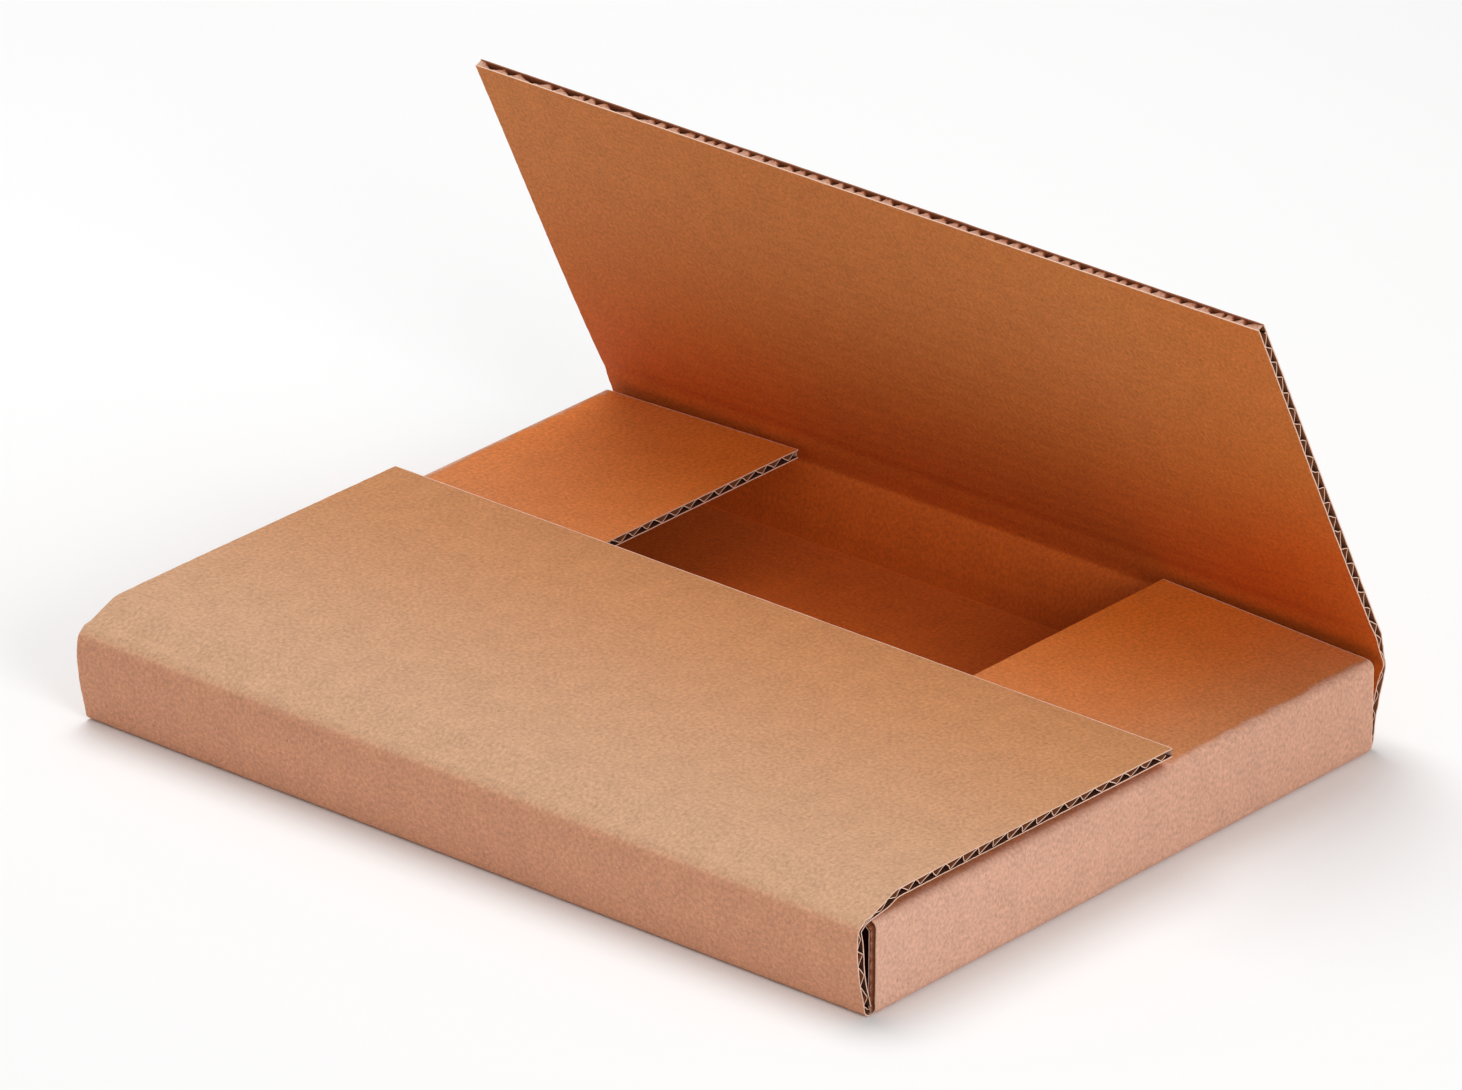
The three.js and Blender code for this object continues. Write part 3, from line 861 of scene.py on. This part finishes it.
def add_long_panel(prefix, panel, outer_painted_shade, inner_painted_shade, tip_edges, loose_share):
    crease = np.linspace(panel.crease_s - 6, panel.crease_s + 18, 60)
    s = spaced(0, panel.length, 1.3, [crease, panel.stations, [panel.length - CUT_RIM]])
    w = spaced(0, 1, 1 / 64, [edge_shares(PANEL_WIDTH)])
    outer_skins = [outer_front, hidden, cut_edge]
    inner_skins = [inner_back, shaded_paper, cut_edge]
    return [
        liner(prefix + "_outer_liner", panel, False, s, w, outer_skins, PANEL_WIDTH, outer_painted_shade, tip_edges),
        liner(prefix + "_inner_liner", panel, True, s, w, inner_skins, PANEL_WIDTH, inner_painted_shade),
        medium_across(prefix + "_medium", panel, medium_skins, PANEL_WIDTH, 2.0, panel.length - 2.5),
        free_edge_ribbon(prefix + "_torn_edge", panel, loose_share),
    ]


def free_edge_ribbon(name, panel, loose_share):
    w = np.linspace(0.0008, 0.9992, 720)
    s = np.full(len(w), panel.length)
    lip_out = panel.place(s, w, LINER)
    lip_in = panel.place(s, w, BOARD - LINER)
    inward = panel.place(s - 3.0, w, LINER) - lip_out
    inward /= np.linalg.norm(inward, axis=1, keepdims=True)
    marks = tooth_marks(PANEL_WIDTH, TOOTH_PITCH, panel.seed, 0.72, loose_share)
    return torn_ribbon(name, lip_in, lip_out, inward, w * PANEL_WIDTH, cavities_at(marks), [torn_edge])


def add_end_panel(prefix, panel):
    bend = np.linspace(panel.crease_s - 4, panel.bend_end_s + 8, 26)
    s = spaced(0, panel.length, 2.6, [panel.stations, bend, [panel.length - CUT_RIM]])
    width = 2 * (HALF_WIDTH - END_SETBACK)
    w = spaced(0, 1, 1 / 70, [edge_shares(width)])
    outer_skins = [outer_end, hidden, cut_edge]
    inner_skins = [inner_back, shaded_paper, cut_edge]
    made = [
        liner(prefix + "_outer_liner", panel, False, s, w, outer_skins, width, end_painted_shade(panel), ["high"]),
        liner(prefix + "_inner_liner", panel, True, s, w, inner_skins, width, deep_painted_shade),
        medium_along(prefix + "_medium", panel, medium_skins, panel.bend_end_s + 12, panel.length),
    ]
    for edge, share, step in (("front", 0.0, 0.01), ("back", 1.0, -0.01)):
        distance = np.linspace(0.4, panel.length - 0.4, 260)
        w_edge = np.full(len(distance), share)
        lip_out = panel.place(distance, w_edge, LINER)
        thick = panel.thickness(distance)
        lip_in = panel.place(distance, w_edge, thick - LINER)
        inward = panel.place(distance, w_edge + step, LINER) - lip_out
        inward /= np.linalg.norm(inward, axis=1, keepdims=True)
        name = f"{prefix}_{edge}_torn_edge"
        made.append(torn_ribbon(name, lip_in, lip_out, inward, distance, smooth_groove, [torn_edge]))
    return made


pieces = {}
pieces["front"] = add_long_panel("front_panel", front, front_painted_shade, deep_painted_shade, ["tip"], 0.0)
pieces["back"] = add_long_panel("back_panel", back, back_outer_painted_shade, back_painted_shade, ["dull tip"], 0.2)
for side_name, panel in ends.items():
    pieces[side_name] = add_end_panel(side_name + "_end", panel)


def floor_sheets():
    """The tray's floor: its underside and its inner face."""
    half_x = HALF_LENGTH - FLOOR_RADIUS
    half_y = HALF_WIDTH - FLOOR_RADIUS
    made = []
    for name, z, shrink, flip, material in (
        ("floor_outer_liner", 0.0, 0.0, True, outer_front),
        ("floor_inner_liner", BOARD, BOARD + INNER_FOLD - FLOOR_RADIUS, False, inner_back),
    ):
        x = np.linspace(-half_x + shrink, half_x - shrink, 41)
        y = np.linspace(-half_y + shrink, half_y - shrink, 33)
        yy, xx = np.meshgrid(y, x, indexing="ij")
        skin = LINER if z == 0 else -LINER
        build = Builder()
        uv = np.dstack([xx, yy])
        build.grid(np.dstack([xx, yy, np.full_like(xx, z)]), uv, 0, True, flip)
        build.grid(np.dstack([xx, yy, np.full_like(xx, z + skin)]), uv, 1, True, not flip)
        sheet = build.finish(name, [material, hidden])
        # The floor takes the deep end of the painted shade, as inside the tray.
        deep = sheet.data.attributes.new("painted_shade", "FLOAT", "POINT")
        deep.data.foreach_set("value", np.full(len(sheet.data.vertices), FLOOR_SHADE, np.float32))
        made.append(sheet)
    return made


pieces["floor"] = floor_sheets()

for side_name in ("floor", "right", "left"):
    for piece in pieces[side_name]:
        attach(piece, "tray")
for piece in pieces["front"]:
    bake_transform(piece)
for piece in pieces["back"]:
    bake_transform(piece)
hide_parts("tray")
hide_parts("front_flap")
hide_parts("back_flap")


def add_camera():
    """The photograph's view: a long lens in front of the right end, looking down."""
    azimuth, elevation, roll = (math.radians(a) for a in (40.255, 24.781, 0.313))
    focal_pixels, picture_width, sensor = 14041.0, 1462.0, 36.0
    aim = Vector((182.108, 50.105, 4005.2)) * MM
    corner = Vector((144.5, 112.35, 0.0)) * MM
    back_way = Vector((
        math.sin(azimuth) * math.cos(elevation),
        -math.cos(azimuth) * math.cos(elevation),
        math.sin(elevation),
    ))
    level = Vector((math.cos(azimuth), math.sin(azimuth), 0))
    upright = back_way.cross(level)
    right_way = level * math.cos(roll) + upright * math.sin(roll)
    up_way = upright * math.cos(roll) - level * math.sin(roll)
    data = bpy.data.cameras.new("photo_view")
    data.sensor_fit = "HORIZONTAL"
    data.sensor_width = sensor
    data.lens = focal_pixels / picture_width * sensor
    data.clip_end = 50.0
    camera = bpy.data.objects.new("photo_view", data)
    place = right_way * aim.x + up_way * aim.y + back_way * aim.z - corner
    turn = Matrix((right_way, up_way, back_way)).transposed().to_4x4()
    camera.matrix_world = Matrix.Translation(place) @ turn
    bpy.context.scene.collection.objects.link(camera)
    bpy.context.scene.camera = camera


def add_floor():
    material, tree, shader = new_material("studio_floor")
    shader.inputs["Base Color"].default_value = (0.93, 0.93, 0.93, 1.0)
    shader.inputs["Roughness"].default_value = 0.9
    size = 6.0
    mesh = bpy.data.meshes.new("studio_floor")
    corners = [(-size, -size, 0), (size, -size, 0), (size, size, 0), (-size, size, 0)]
    mesh.from_pydata(corners, [], [(0, 1, 2, 3)])
    mesh.materials.append(material)
    floor = bpy.data.objects.new("studio_floor", mesh)
    floor.location.z = -0.0002
    bpy.context.scene.collection.objects.link(floor)


def area_light(name, place, size, power, target=(0.0, 0.0, 0.02)):
    data = bpy.data.lights.new(name, "AREA")
    data.shape = "DISK"
    data.size = size
    data.energy = power
    light = bpy.data.objects.new(name, data)
    light.location = place
    way = Vector(target) - Vector(place)
    light.rotation_euler = way.to_track_quat("-Z", "Y").to_euler()
    bpy.context.scene.collection.objects.link(light)


def add_light():
    world = bpy.data.worlds.new("studio")
    bpy.context.scene.world = world
    world.use_nodes = True
    tree = world.node_tree
    background = tree.nodes["Background"]
    background.inputs["Color"].default_value = (1.0, 1.0, 1.0, 1.0)
    path = node(tree, "ShaderNodeLightPath")
    strength = remap(tree, path.outputs["Is Camera Ray"], 0.0, 1.0, 0.42, 1.0)
    tree.links.new(strength, background.inputs["Strength"])
    area_light("overhead", (-0.5, 0.2, 1.6), 1.2, 17.0)
    area_light("right_side", (1.7, -0.7, 0.8), 1.0, 16.0)


add_camera()
add_floor()
add_light()
bpy.context.scene.view_settings.view_transform = "Standard"
